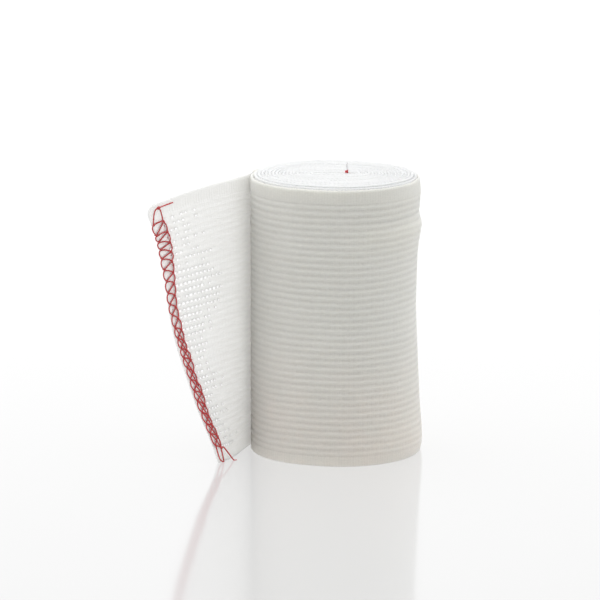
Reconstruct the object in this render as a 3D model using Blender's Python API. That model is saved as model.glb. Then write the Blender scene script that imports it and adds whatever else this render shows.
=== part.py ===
"""An elastic bandage: one knitted strip, wound into a roll that stands on end, with its free end bent away.

Metres, +Z up. The origin is the middle of the roll's core, on the surface that the roll stands on. The wound turns
and the free end are two objects that meet where the strip leaves the roll.
"""
import math

import bmesh
import bpy
from mathutils import Vector

# The strip
STRIP_WIDTH = 0.100
STRIP_THICKNESS = 0.0010
OUTER_NARROWING = 0.0011      # the outer turn is stretched along its length, so it is less wide
RIB_PITCH = 0.00235
RIB_DEPTH = 0.0003
TOP_SELVAGE = 0.0050
BOTTOM_SELVAGE = 0.0035

# The roll
ROLL_WIDTH = 0.0622
ROLL_DEPTH = 0.0575
CORE_WIDTH = 0.0140           # the first fold in the middle is flat
INNER_END_SHARE = 0.55        # the strip's inner end lies this far to the right, as a share of the core's half
TURN_GAP = 0.0005
SIDE_GAP = 0.0001             # the least gap between turns at the waist, where they lie closest
OVAL_TURN = math.radians(-20) # the roll's oval is turned by this much at its outside, and not at its core
NARROWING_FROM = 1.50         # turns before the free end leaves: the strip is still at its full width
NARROWING_TO = 1.05           # turns before the free end leaves: the strip has its lesser width
EXPOSED_TURNS = 1.02          # the ribs start a little inside the overlap with the turn above
WAIST_DEPTH = 0.0024          # how far the roll's right side is drawn in between its two rims

# The free end
FREE_END_LENGTH = 0.0432      # from where it leaves the roll to its edge, at mid height
TOP_CORNER_RADIUS = 0.0050
BOTTOM_CORNER_RADIUS = 0.0025
CORNER_FLARE = 0.0030         # how far the upper corner stands out beyond the line of the edge
CORNER_FLARE_REACH = 0.0080   # how far down the edge it fades
JOIN_GAP = 0.0003             # between the last wound turn and the free end

# How finely the curves are cut
ARC_STEPS = 12
CORE_ARC_STEPS = 6
CORE_ARC_RADIUS = 0.0052
FREE_END_STEPS = 7
FINE_STEPS = 8                # steps of the bend's working between two columns of points

KNIT_COLOUR = (0.79, 0.78, 0.74, 1.0)
KNIT_ROUGHNESS = 0.9

# The roll's right side: height as a share of the strip's width, and depth as a share of WAIST_DEPTH
WAIST_PROFILE = (
    # height, depth
    (0.00, 0.12),
    (0.07, 0.00),
    (0.30, 0.58),
    (0.55, 1.00),
    (0.72, 0.60),
    (0.86, 0.28),
    (0.95, 0.30),
    (1.00, 0.42),
)

# Heights, as shares of the strip's width, of the few rows of points that a covered face needs: both rims and the waist
HIDDEN_ROWS = (0.00, 0.55, 1.00)

# The free end at five heights: its length as a share of FREE_END_LENGTH, and the bearings that steer its bend
# and face its end, in degrees from straight towards the front to the left
FREE_END_BENDS = (
    # height, length, first, second, last
    (0.00, 0.84, 14, 8, 38),
    (0.25, 0.88, 28, 33, 54),
    (0.50, 1.00, 36, 49, 60),
    (0.75, 1.09, 44, 50, 56),
    (1.00, 1.25, 55, 38, 50),
)


def straight_reading(table, share, column):
    """Read a column of a table by straight lines between its rows, which are sorted by their first value."""
    for low, high in zip(table, table[1:]):
        if share <= high[0]:
            part = (share - low[0]) / (high[0] - low[0])
            return low[column] + (high[column] - low[column]) * part
    return table[-1][column]


def smooth_reading(table, share, column):
    """Read a column of a table by a smooth curve through its evenly spaced rows."""
    place = share * (len(table) - 1)
    index = min(int(place), len(table) - 2)
    part = place - index
    before, low, high, after = (
        table[min(max(index + step, 0), len(table) - 1)][column] for step in (-1, 0, 1, 2))
    rise_low = (high - before) / 2
    rise_high = (after - low) / 2
    return (low * (2 * part ** 3 - 3 * part ** 2 + 1) + high * (3 * part ** 2 - 2 * part ** 3)
            + rise_low * (part ** 3 - 2 * part ** 2 + part) + rise_high * (part ** 3 - part ** 2))


def count_half_turns():
    """The odd number of half turns that fills the roll's depth and fits between its core and its waist."""
    spacing = STRIP_THICKNESS + TURN_GAP
    side_spacing = STRIP_THICKNESS + SIDE_GAP
    beside_core = ROLL_WIDTH - STRIP_THICKNESS - CORE_WIDTH - WAIST_DEPTH
    filling_depth = 2 * round((ROLL_DEPTH - STRIP_THICKNESS) / spacing / 2) + 1
    fitting_width = 2 * math.floor(beside_core / side_spacing / 2) + 1
    return min(filling_depth, fitting_width)


HALF_TURNS = count_half_turns()
TURN_PITCH = (ROLL_DEPTH - STRIP_THICKNESS) / (HALF_TURNS - 1)
LAST_RADIUS = HALF_TURNS * TURN_PITCH / 2
LAST_STRAIGHT = (ROLL_WIDTH - STRIP_THICKNESS - 2 * LAST_RADIUS + TURN_PITCH / 2) / 2


def exposed_rows():
    """Heights, as shares of the width, of the rows that shape the ribs, each with its depth below a crest."""
    ribbed = STRIP_WIDTH - TOP_SELVAGE - BOTTOM_SELVAGE
    ribs = max(1, round(ribbed / RIB_PITCH))
    start = BOTTOM_SELVAGE / STRIP_WIDTH
    step = ribbed / STRIP_WIDTH / ribs / 2
    rows = [(0.0, 0.0)]
    for index in range(2 * ribs + 1):
        rows.append((start + index * step, RIB_DEPTH if index % 2 == 0 else 0.0))
    rows.append((1.0, 0.0))
    return rows


EXPOSED_ROWS = exposed_rows()


def hidden_rows():
    """The few rows of a covered face, moved to the nearest rows of an exposed one so that the two can meet."""
    heights = [row[0] for row in EXPOSED_ROWS]
    return [(min(heights, key=lambda height: abs(height - wanted)), 0.0) for wanted in HIDDEN_ROWS]


COVERED_ROWS = hidden_rows()


class Station:
    """A place along the wound strip: the middle of its wall and the way that its outer face looks."""

    def __init__(self, half_turn, angle):
        self.progress = (half_turn - 1 + (angle + math.pi / 2) / math.pi) / HALF_TURNS
        radius = half_turn * TURN_PITCH / 2
        straight = CORE_WIDTH / 2 + (LAST_STRAIGHT - CORE_WIDTH / 2) * half_turn / HALF_TURNS
        beside = max(0.0, straight)                   # a half circle beside a straight run
        side_radius = radius + min(0.0, straight)     # or a flatter half oval, in a roll that is deeper than wide
        on_right = half_turn % 2 == 0
        centre = Vector((beside, 0.0)) if on_right else Vector((-beside, -TURN_PITCH / 2))
        direction = angle if on_right else angle + math.pi
        turned = OVAL_TURN * self.progress
        facing = math.atan2(side_radius * math.sin(direction), radius * math.cos(direction))
        self.bearing = facing + turned
        self.outward = Vector((math.cos(self.bearing), math.sin(self.bearing)))
        around = Vector((math.cos(direction) * side_radius, math.sin(direction) * radius))
        self.middle = rotated(centre + around, turned)
        self.radius_share = radius / LAST_RADIUS

    def turns_left(self):
        """Turns from here to where the free end leaves the roll."""
        return (HALF_TURNS - 0.5 - self.progress * HALF_TURNS) / 2

    def height(self):
        """The strip's width here: the exposed turn is narrower than those that it covers."""
        narrowed = (NARROWING_FROM - self.turns_left()) / (NARROWING_FROM - NARROWING_TO)
        return STRIP_WIDTH - OUTER_NARROWING * min(1.0, max(0.0, narrowed))

    def drawn_in(self, share, profile_rows):
        """How far the waist draws this place in, at a height given as a share."""
        facing_right = max(0.0, math.cos(self.bearing))
        depth = straight_reading(profile_rows, share, 1)
        return WAIST_DEPTH * depth * facing_right * self.radius_share

    def point(self, share, offset, profile_rows):
        """A point of the wall: offset is from the middle of the wall, outwards."""
        flat = self.middle + self.outward * (offset - self.drawn_in(share, profile_rows))
        return Vector((flat.x, flat.y, share * self.height()))


def rotated(flat, angle):
    """A flat vector turned about the axis of the roll."""
    return Vector((flat.x * math.cos(angle) - flat.y * math.sin(angle),
                   flat.x * math.sin(angle) + flat.y * math.cos(angle)))


def covered_profile():
    """The waist's profile as the covered rows can follow it."""
    return [(height, straight_reading(WAIST_PROFILE, height, 1)) for height, _ in COVERED_ROWS]


COVERED_PROFILE = covered_profile()


def wound_stations():
    """All places along the roll, from the flat core to where the free end leaves at the roll's left."""
    inner_end = Station(1, -math.pi / 2)
    inner_end.middle.x *= -INNER_END_SHARE
    stations = [inner_end]
    for half_turn in range(1, HALF_TURNS + 1):
        radius = half_turn * TURN_PITCH / 2
        steps = CORE_ARC_STEPS if radius < CORE_ARC_RADIUS else ARC_STEPS
        last = half_turn == HALF_TURNS
        for step in range(steps // 2 + 1 if last else steps + 1):
            stations.append(Station(half_turn, -math.pi / 2 + math.pi * step / steps))
    return stations


def roll_column(station, covered_outside):
    """The outer and inner rows of points of one place along the roll."""
    half = STRIP_THICKNESS / 2
    if covered_outside:
        outer = [(share, station.point(share, half, COVERED_PROFILE)) for share, _ in COVERED_ROWS]
    else:
        outer = [(share, station.point(share, half - depth, WAIST_PROFILE)) for share, depth in EXPOSED_ROWS]
    inner = [(share, station.point(share, -half, COVERED_PROFILE)) for share, _ in COVERED_ROWS]
    return outer, inner


def corner_cut(share, height):
    """How much the free end's rounded corners shorten a row."""
    cut = 0.0
    for radius, to_edge in ((BOTTOM_CORNER_RADIUS, share * height), (TOP_CORNER_RADIUS, (1 - share) * height)):
        if to_edge < radius:
            cut += radius - math.sqrt(radius ** 2 - (radius - to_edge) ** 2)
    return cut


def corner_flare(share, height):
    """How much the corner that stands out lengthens a row."""
    down = (1 - share) * height / CORNER_FLARE_REACH
    return CORNER_FLARE * math.exp(-down ** 2)


def free_end_row(station, share, cut):
    """Flat points and outward directions along one row of the free end, from where it leaves the roll."""
    leaving = math.degrees(math.pi - station.bearing)
    length = FREE_END_LENGTH * smooth_reading(FREE_END_BENDS, share, 1) - cut
    first, second, last = (smooth_reading(FREE_END_BENDS, share, column) for column in (2, 3, 4))
    fine_steps = FREE_END_STEPS * FINE_STEPS
    place = station.middle.copy()
    row = []
    for index in range(fine_steps + 1):
        part = index / fine_steps
        bearing = math.radians(leaving * (1 - part) ** 3 + 3 * first * part * (1 - part) ** 2
                               + 3 * second * part ** 2 * (1 - part) + last * part ** 3)
        if index:
            place = place + Vector((-math.sin(bearing), -math.cos(bearing))) * length / fine_steps
        if index % FINE_STEPS == 0:
            row.append((place.copy(), Vector((-math.cos(bearing), math.sin(bearing)))))
    return row


def free_end_columns(station):
    """The outer and inner rows of points of each place along the free end, which stands on its lower edge."""
    height = station.height()
    half = STRIP_THICKNESS / 2
    whole = [free_end_row(station, share, 0.0) for share, _ in EXPOSED_ROWS]
    shaped = [free_end_row(station, share, corner_cut(share, height) - corner_flare(share, height))
              for share, _ in EXPOSED_ROWS]
    columns = []
    for index in range(FREE_END_STEPS + 1):
        outer = []
        inner = []
        level = 0.0
        for number, (share, depth) in enumerate(EXPOSED_ROWS):
            if number:
                across = (share - EXPOSED_ROWS[number - 1][0]) * height
                aside = (whole[number][index][0] - whole[number - 1][index][0]).length
                level += math.sqrt(max(0.0, across ** 2 - aside ** 2))
            middle, outward = shaped[number][index]
            if index == 0:
                middle = middle + Vector((outward.y, -outward.x)) * -JOIN_GAP
            for points, offset in ((outer, half - depth), (inner, depth - half)):
                flat = middle + outward * offset
                points.append((share, Vector((flat.x, flat.y, level))))
        columns.append((outer, inner))
    return columns


def add_points(mesh, column):
    """Add a column's points to the mesh, keeping their heights."""
    return [[(share, mesh.verts.new(point)) for share, point in side] for side in column]


def bridge(mesh, side, next_side, flipped):
    """Join two columns of one face: each face spans the rows that both columns have."""
    shared = sorted({share for share, _ in side} & {share for share, _ in next_side})
    for low, high in zip(shared, shared[1:]):
        near = [vert for share, vert in side if low <= share <= high]
        far = [vert for share, vert in next_side if low <= share <= high]
        loop = near[::-1] + far
        mesh.faces.new(loop[::-1] if flipped else loop)


def close_rims(mesh, near, far):
    """Close the strip's lower and upper edges between two columns."""
    (outer, inner), (next_outer, next_inner) = near, far
    mesh.faces.new((outer[0][1], inner[0][1], next_inner[0][1], next_outer[0][1]))
    mesh.faces.new((outer[-1][1], next_outer[-1][1], next_inner[-1][1], inner[-1][1]))


def close_end(mesh, column):
    """Close one end of the strip, with a face between each two rows that its two sides share."""
    outer, inner = column
    shared = sorted({share for share, _ in outer} & {share for share, _ in inner})
    for low, high in zip(shared, shared[1:]):
        front = [vert for share, vert in outer if low <= share <= high]
        back = [vert for share, vert in inner if low <= share <= high]
        mesh.faces.new(front + back[::-1])


def knit_material(name):
    """Undyed knitted elastic."""
    material = bpy.data.materials.new(name)
    material.use_nodes = True
    shader = material.node_tree.nodes["Principled BSDF"]
    shader.inputs["Base Color"].default_value = KNIT_COLOUR
    shader.inputs["Roughness"].default_value = KNIT_ROUGHNESS
    shader.inputs["Metallic"].default_value = 0.0
    return material


def add_strip(name, columns, material):
    """A closed wall through columns of points, as an object."""
    mesh = bmesh.new()
    points = [add_points(mesh, column) for column in columns]
    for near, far in zip(points, points[1:]):
        bridge(mesh, near[0], far[0], False)
        bridge(mesh, near[1], far[1], True)
        close_rims(mesh, near, far)
    close_end(mesh, points[0])
    close_end(mesh, points[-1])
    bmesh.ops.recalc_face_normals(mesh, faces=mesh.faces)
    data = bpy.data.meshes.new(name)
    mesh.to_mesh(data)
    mesh.free()
    data.materials.append(material)
    strip = bpy.data.objects.new(name, data)
    bpy.context.scene.collection.objects.link(strip)
    return strip


def wound_turns(stations):
    """The covered turns and the exposed outer turn with its ribs."""
    columns = [roll_column(station, station.turns_left() > EXPOSED_TURNS) for station in stations]
    return add_strip("wound_turns", columns, knit_material("wound_knit"))


def free_end(leaving):
    """The end of the strip that bends away from the roll."""
    return add_strip("free_end", free_end_columns(leaving), knit_material("free_knit"))


def clear_scene():
    """Remove what the scene holds."""
    for item in list(bpy.data.objects):
        bpy.data.objects.remove(item, do_unlink=True)


clear_scene()
STATIONS = wound_stations()
wound_turns(STATIONS)
free_end(STATIONS[-1])
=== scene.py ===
"""The looks of an elastic bandage: a knitted strip wound into a roll, with a stitched free end bent away.

Metres, +Z up, the camera looks along +Y. Laid out as a Blender add-on and run as a script.
"""
import math

import bmesh
import bpy
import numpy as np
from bpy.props import FloatProperty, FloatVectorProperty, IntProperty, PointerProperty
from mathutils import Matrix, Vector


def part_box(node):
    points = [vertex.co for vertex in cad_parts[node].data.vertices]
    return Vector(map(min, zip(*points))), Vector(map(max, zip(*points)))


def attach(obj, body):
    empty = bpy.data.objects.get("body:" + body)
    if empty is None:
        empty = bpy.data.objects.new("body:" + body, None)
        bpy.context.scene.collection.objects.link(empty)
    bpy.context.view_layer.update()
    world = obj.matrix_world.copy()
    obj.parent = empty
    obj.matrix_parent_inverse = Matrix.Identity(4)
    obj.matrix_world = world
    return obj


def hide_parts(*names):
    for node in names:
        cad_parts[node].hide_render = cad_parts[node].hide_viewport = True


bl_info = {
    "name": "Elastic Bandage",
    "version": (1, 0, 0),
    "blender": (4, 5, 0),
    "location": "3D View > Sidebar > Bandage",
    "description": "Makes a wound, ribbed elastic bandage with an overlocked free end",
    "category": "Mesh",
}

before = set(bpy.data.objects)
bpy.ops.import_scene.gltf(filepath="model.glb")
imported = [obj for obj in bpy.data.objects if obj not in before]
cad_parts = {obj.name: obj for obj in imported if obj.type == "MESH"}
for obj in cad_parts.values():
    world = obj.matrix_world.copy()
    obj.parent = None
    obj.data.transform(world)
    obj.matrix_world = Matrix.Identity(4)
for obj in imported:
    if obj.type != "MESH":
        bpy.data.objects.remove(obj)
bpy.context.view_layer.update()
STRIP_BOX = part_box("wound_turns")
BODY = "root"

# The roll's right side: height as a share of the strip's width, and depth as a share of the waist's depth
WAIST_PROFILE = (
    # height, depth
    (0.000, 0.34),
    (0.021, 0.12),
    (0.054, 0.00),
    (0.101, 0.10),
    (0.174, 0.36),
    (0.285, 0.58),
    (0.430, 0.84),
    (0.540, 1.00),
    (0.723, 0.78),
    (0.767, 0.58),
    (0.811, 0.30),
    (0.833, 0.16),
    (0.854, 0.42),
    (0.876, 0.62),
    (0.898, 0.50),
    (0.942, 0.36),
    (0.970, 0.44),
    (1.000, 0.60),
)

# The free end at five heights: its length as a share of the free end's, and the bearings that steer its bend and
# face its end, in degrees from straight towards the front to the left
FREE_END_BENDS = (
    # height, length, first, second, last
    (0.00, 0.84, 14, 8, 38),
    (0.25, 0.88, 28, 33, 54),
    (0.50, 1.00, 36, 49, 60),
    (0.75, 1.09, 44, 50, 56),
    (1.00, 1.25, 55, 38, 50),
)

# The rows of points over one rib: their place as a share of the rib's pitch, and how much of the groove's depth
# they take where a crossing yarn lies and between two such yarns
RIB_ROWS = (
    # place, at a yarn, between yarns
    (0.12, 0.62, 1.10),
    (0.30, 0.32, 0.46),
    (0.52, 0.10, 0.00),
    (0.72, 0.28, 0.40),
    (0.88, 0.62, 1.10),
)

# The section of a covered turn, round its wall: height as a share of the width, and side as a share of half its wall
COVERED_SECTION = (
    # height, side
    (0.000, 0.45),
    (0.004, 0.90),
    (0.300, 1.00),
    (0.550, 1.00),
    (0.800, 1.00),
    (0.995, 1.00),
    (0.9985, 0.93),
    (0.9997, 0.68),
    (1.000, 0.00),
    (0.9997, -0.68),
    (0.9985, -0.93),
    (0.995, -1.00),
    (0.800, -1.00),
    (0.550, -1.00),
    (0.300, -1.00),
    (0.004, -0.90),
    (0.000, -0.45),
)

# The rim and the covered face of the exposed turn: height as a share of the width, and side as a share of half its wall
PLAIN_INSIDE = (
    # height, side
    (1.000, 0.50),
    (1.000, -0.50),
    (0.996, -1.00),
    (0.800, -1.00),
    (0.550, -1.00),
    (0.300, -1.00),
    (0.004, -1.00),
    (0.000, -0.55),
    (0.000, 0.55),
)

# How far in from the free edge the outer seam's two rows of knots lie at heights up the edge, in metres
SEAM_PLACES = (
    # height, outer knot, inner knot
    (0.00, 0.0008, 0.0030),
    (0.20, 0.0010, 0.0031),
    (0.45, 0.0012, 0.0031),
    (0.55, 0.0008, 0.0028),
    (0.62, 0.0005, 0.0024),
    (0.69, 0.0003, 0.0027),
    (0.76, 0.0002, 0.0035),
    (0.86, 0.0002, 0.0042),
    (1.00, 0.0001, 0.0050),
)

EXPOSED_TURNS = 1.02


class BANDAGE_PG_roll(bpy.types.PropertyGroup):
    """Sizes of the wound strip"""
    thickness: FloatProperty(name="Strip thickness", description="Wall of the knit from crest to crest",
                             default=0.00118, unit="LENGTH")
    width: FloatProperty(name="Roll width", description="Across the roll, left to right",
                         default=0.0622, unit="LENGTH")
    depth: FloatProperty(name="Roll depth", description="Across the roll, front to back",
                         default=0.0575, unit="LENGTH")
    core_width: FloatProperty(name="Core width", description="Length of the flat fold in the middle",
                              default=0.0140, unit="LENGTH")
    inner_end: FloatProperty(name="Inner end", description="Place of the inner end, as a share of the core's half",
                             default=0.55)
    cad_thickness: FloatProperty(name="Solid thickness", description="Wall of the plain solid strip",
                                 default=0.0010, unit="LENGTH")
    half_turns: IntProperty(name="Half turns", description="Half turns from the core to the free end", default=39)
    oval_turn: FloatProperty(name="Oval turn", description="How far the roll's oval is turned at its outside",
                             default=math.radians(-20), unit="ROTATION")
    waist_depth: FloatProperty(name="Waist depth", description="How far the right side is drawn in",
                               default=0.0025, unit="LENGTH")
    narrowing: FloatProperty(name="Outer narrowing", description="How much less wide the exposed turn is",
                             default=0.0011, unit="LENGTH")


class BANDAGE_PG_free_end(bpy.types.PropertyGroup):
    """Sizes of the free end"""
    length: FloatProperty(name="Length", description="From where it leaves the roll to its edge, at mid height",
                          default=0.0432, unit="LENGTH")
    top_corner: FloatProperty(name="Top corner", description="Radius of the upper corner",
                              default=0.0050, unit="LENGTH")
    bottom_corner: FloatProperty(name="Bottom corner", description="Radius of the lower corner",
                                 default=0.0025, unit="LENGTH")
    flare: FloatProperty(name="Corner flare", description="How far the upper corner stands out beyond the seam",
                         default=0.0030, unit="LENGTH")
    flare_reach: FloatProperty(name="Flare reach", description="How far down the edge the corner's flare fades",
                               default=0.0080, unit="LENGTH")
    openness: FloatProperty(name="Openness", description="How open the net is near the seam", default=1.0)
    thinning: FloatProperty(name="Thinning", description="How much thinner the net is than the wound strip",
                            default=0.45)
    rib_share: FloatProperty(name="Rib share", description="Depth of its ribs, as a share of the wound strip's",
                             default=0.45)


class BANDAGE_PG_knit(bpy.types.PropertyGroup):
    """Sizes and colours of the knit"""
    ribs: IntProperty(name="Ribs", description="Ribs across the strip", default=39)
    rib_depth: FloatProperty(name="Rib depth", description="Depth of the grooves between ribs",
                             default=0.00025, unit="LENGTH")
    roll_glow: FloatProperty(name="Roll glow", description="How far light passes into the wound turns",
                             default=0.0022, unit="LENGTH")
    open_glow: FloatProperty(name="Free end glow", description="How far light passes through the free end",
                             default=0.0110, unit="LENGTH")
    stitch: FloatProperty(name="Stitch length", description="Pitch of the crossing yarns along the strip",
                          default=0.00165, unit="LENGTH")
    top_selvage: FloatProperty(name="Top selvage", description="Plain band at the upper edge",
                               default=0.0050, unit="LENGTH")
    bottom_selvage: FloatProperty(name="Bottom selvage", description="Plain band at the lower edge",
                                  default=0.0035, unit="LENGTH")
    wander: FloatProperty(name="Rib wander", description="How far ribs stray up and down",
                          default=0.00028, unit="LENGTH")
    irregularity: FloatProperty(name="Irregularity", description="How much the depth of stitches varies",
                                default=0.22)
    turn_gap: FloatProperty(name="Turn gap", description="Air between covered turns", default=0.00005, unit="LENGTH")
    rim_loop: FloatProperty(name="Rim loops", description="Height of the small loops along the edges",
                            default=0.00012, unit="LENGTH")
    rim_lift: FloatProperty(name="Rim lift", description="How far covered edges stray up and down",
                            default=0.00022, unit="LENGTH")
    mesh_spread: FloatProperty(name="Mesh spread", description="How much taller an open mesh of the net is",
                               default=0.00042, unit="LENGTH")
    mesh_stretch: FloatProperty(name="Mesh stretch", description="How far an open mesh is drawn to each side",
                                default=0.00030, unit="LENGTH")
    seed: IntProperty(name="Seed", description="Start of the small irregularities", default=7)
    bar: FloatProperty(name="Selvage bars", description="Pitch of the upright bars of the selvages",
                       default=0.00100, unit="LENGTH")
    # Painted shade: the colour is darkened in the grooves between ribs, where shade falls; the same strength also
    # darkens the plain selvages and marks their upright bars.
    groove_shade_and_bar_tone: FloatProperty(name="Groove shade and bar tone", description="How much darker the yarn is between ribs",
                               default=0.10)
    colour: FloatVectorProperty(name="Yarn colour", description="Undyed cotton and elastic",
                                subtype="COLOR", size=4, default=(0.81, 0.80, 0.735, 1.0))
    # Painted light: the covered turns, whose edges make the roll's top, get a less warm copy of the yarn colour,
    # standing in for the top being washed out by the light.
    overlit_covered_colour: FloatVectorProperty(name="Overlit covered yarn colour", description="Clean yarn inside the roll",
                                        subtype="COLOR", size=4, default=(0.80, 0.81, 0.81, 1.0))
    # Painted shade: the free end gets a much darker copy of the yarn colour, which dims the light that its glow lets
    # through.
    shaded_open_colour: FloatVectorProperty(name="Shaded open yarn colour", description="Light yarn of the free end",
                                     subtype="COLOR", size=4, default=(0.56, 0.56, 0.53, 1.0))
    # Painted light: a warm tint low on the outer turn that stands in for red light from the red thread inside the roll.
    painted_warm_light: FloatVectorProperty(name="Painted warm light", description="Faint warm tint low on the roll",
                               subtype="COLOR", size=4, default=(0.82, 0.76, 0.69, 1.0))


class BANDAGE_PG_seam(bpy.types.PropertyGroup):
    """Sizes and colours of the overlock seams"""
    thread: FloatProperty(name="Thread diameter", description="Overlock thread", default=0.00052, unit="LENGTH")
    pitch: FloatProperty(name="Stitch pitch", description="Along the edge", default=0.0040, unit="LENGTH")
    inner_width: FloatProperty(name="Inner seam width", description="Width of the seam on the inner end",
                               default=0.0045, unit="LENGTH")
    top_start: FloatProperty(name="Top start", description="From the upper edge to the first inner knot",
                             default=0.0074, unit="LENGTH")
    lowest: FloatProperty(name="Lowest knot", description="Least height of an inner knot",
                          default=0.0024, unit="LENGTH")
    chain_below: FloatProperty(name="Chain below", description="Share of the height under which the seam is a chain",
                               default=0.54)
    bulge: FloatProperty(name="Edge loops", description="How far the outer loops bow out from their knots",
                         default=0.0007, unit="LENGTH")
    knot_edge: FloatProperty(name="Top knot", description="From the free edge to the knot over the first stitch",
                             default=0.0036, unit="LENGTH")
    colour: FloatVectorProperty(name="Thread colour", description="Red thread",
                                subtype="COLOR", size=4, default=(0.66, 0.034, 0.040, 1.0))
    worn_colour: FloatVectorProperty(name="Fibre colour", description="Paler fibres of the thread",
                                     subtype="COLOR", size=4, default=(0.76, 0.13, 0.13, 1.0))


class BANDAGE_PG_stage(bpy.types.PropertyGroup):
    """The floor, the light and the camera"""
    distance: FloatProperty(name="Camera distance", description="From the middle of the roll",
                            default=1.8, unit="LENGTH")
    elevation: FloatProperty(name="Camera elevation", description="Above the floor's plane",
                             default=math.radians(12), unit="ROTATION")
    scale: FloatProperty(name="Image scale", description="Photo pixels for each millimetre", default=2.81)
    floor: FloatVectorProperty(name="Floor colour", description="Pale glossy floor",
                               subtype="COLOR", size=4, default=(0.16, 0.16, 0.16, 1.0))
    floor_glow: FloatProperty(name="Floor glow", description="Light that the backlit floor gives off", default=0.50)
    front_light: FloatProperty(name="Front light", description="Strength of the surround before the roll",
                               default=0.66)
    back_light: FloatProperty(name="Back light", description="Strength of the surround behind the roll", default=1.20)
    top_light: FloatProperty(name="Top light", description="What the surround adds overhead", default=0.25)
    left_light: FloatProperty(name="Left light", description="What the surround adds at the left", default=0.18)


def read_table(table, shares, column):
    """Read a column of a table whose rows are sorted by their first value, for many shares at once."""
    rows = np.array(table)
    return np.interp(shares, rows[:, 0], rows[:, column])


def read_smoothly(table, share, column):
    """Read a column of a table by a smooth curve through its evenly spaced rows."""
    place = share * (len(table) - 1)
    index = min(int(place), len(table) - 2)
    part = place - index
    before, low, high, after = (
        table[min(max(index + step, 0), len(table) - 1)][column] for step in (-1, 0, 1, 2))
    rise_low = (high - before) / 2
    rise_high = (after - low) / 2
    return (low * (2 * part ** 3 - 3 * part ** 2 + 1) + high * (3 * part ** 2 - 2 * part ** 3)
            + rise_low * (part ** 3 - 2 * part ** 2 + part) + rise_high * (part ** 3 - part ** 2))


def ripple(along, across, seed):
    """A smooth irregular field from minus one to one, made of a few slanting waves."""
    chance = np.random.RandomState(seed)
    total = np.zeros(np.broadcast(along, across).shape)
    weight = 0.0
    for octave in range(5):
        turn = chance.uniform(0, 2 * math.pi)
        phase = chance.uniform(0, 2 * math.pi)
        rate = 2 ** (octave * 0.7)
        share = rate ** -0.8
        total = total + share * np.sin(rate * (along * math.cos(turn) + across * math.sin(turn)) + phase)
        weight += share
    return total / weight


class WoundLine:
    """The middle line of the wound strip, seen from above, from its inner end to where the free end leaves."""

    def __init__(self, roll):
        count = roll.half_turns
        pitch = (roll.depth - roll.cad_thickness) / (count - 1)
        last_radius = count * pitch / 2
        last_straight = (roll.width - roll.cad_thickness - 2 * last_radius + pitch / 2) / 2
        spots = []
        for half_turn in range(1, count + 1):
            radius = half_turn * pitch / 2
            straight = roll.core_width / 2 + (last_straight - roll.core_width / 2) * half_turn / count
            on_right = half_turn % 2 == 0
            sweep = math.pi / 2 if half_turn == count else math.pi
            for angle in np.linspace(0, sweep, 91 if half_turn < count else 46):
                direction = math.pi / 2 + (half_turn - 1) * math.pi + angle
                progress = (half_turn - 1 + angle / math.pi) / count
                turned = roll.oval_turn * progress
                x = math.cos(direction) * radius + (straight if on_right else -straight)
                y = math.sin(direction) * radius - (0.0 if on_right else pitch / 2)
                spots.append((x * math.cos(turned) - y * math.sin(turned),
                              x * math.sin(turned) + y * math.cos(turned),
                              direction + turned, radius / last_radius, (count - 0.5 - progress * count) / 2))
        inner = list(spots[0])
        inner[0] = -inner[0] * roll.inner_end
        self.spots = np.array([inner] + spots)
        self.pitch = pitch
        self.straight_step = 2 * (roll.core_width / 2 - last_straight) / count
        steps = np.hypot(*np.diff(self.spots[:, :2], axis=0).T)
        self.reach = np.concatenate([[0.0], np.cumsum(steps)])
        self.length = self.reach[-1]

    def at(self, reach):
        """Place, outward direction, share of the radius and turns left, at lengths from the inner end."""
        x, y, bearing, radius_share, turns_left = (
            np.interp(reach, self.reach, self.spots[:, column]) for column in range(5))
        return x, y, bearing, radius_share, turns_left


def leaving_bearing(line):
    """The way that the strip runs where it leaves the roll, in degrees from the front to the left."""
    return math.degrees(math.pi - (line.spots[-1, 2] % (2 * math.pi)))


def wound_surface(line, roll, width, reach, shares, offsets, profile_blend=1.0):
    """Points of the wound strip. Arrays: reach has a value for each column, shares and offsets for each point."""
    x, y, bearing, radius_share, turns_left = (value[:, None] for value in line.at(reach))
    facing_right = np.maximum(0.0, np.cos(bearing))
    fine = read_table(WAIST_PROFILE, shares, 1)
    coarse = np.interp(shares, (0.0, 0.55, 1.0), (0.2, 1.0, 0.45))
    depth = coarse + (fine - coarse) * profile_blend
    out = offsets - roll.waist_depth * depth * facing_right * radius_share
    narrowed = np.clip((2.4 - turns_left) / 1.35, 0.0, 1.0)
    height = width - roll.narrowing * narrowed
    return np.stack([x + np.cos(bearing) * out, y + np.sin(bearing) * out, shares * height], axis=-1)


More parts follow.
